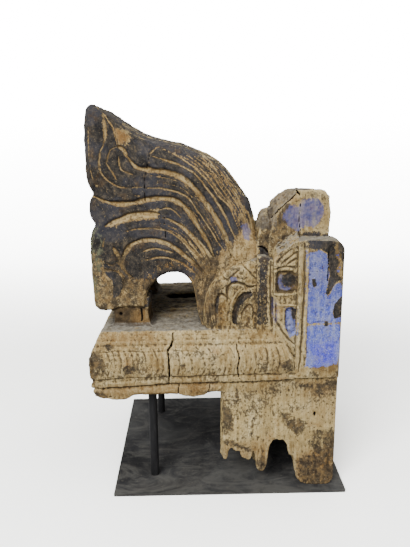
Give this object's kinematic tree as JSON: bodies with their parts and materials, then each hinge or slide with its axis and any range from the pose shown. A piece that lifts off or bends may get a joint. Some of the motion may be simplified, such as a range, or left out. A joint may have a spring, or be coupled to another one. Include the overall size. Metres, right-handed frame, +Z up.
{
  "type": "column capital fragment",
  "caption": "Half of a carved, once painted wooden column capital with a curling fluted plume over a moulded slab, on a flat steel stand with upright rods.",
  "frame": {"origin": "on the floor, under the middle of the whole object", "axes": "+Z up along the grain; the carved side faces -Y, the plume's tip is at -X and the sawn face at +X"},
  "size_m": [0.3469, 0.29, 0.5202],
  "materials": {
    "weathered_wood": "bare, eroded and dusty, with dark and blue paint left on the carving",
    "blackened_steel": "satin black, lightly scuffed"
  },
  "bodies": {
    "root": {"carved_capital": "weathered_wood", "base_plate": "blackened_steel", "rod_front": "blackened_steel", "rod_rear": "blackened_steel"}
  },
  "joints": []
}
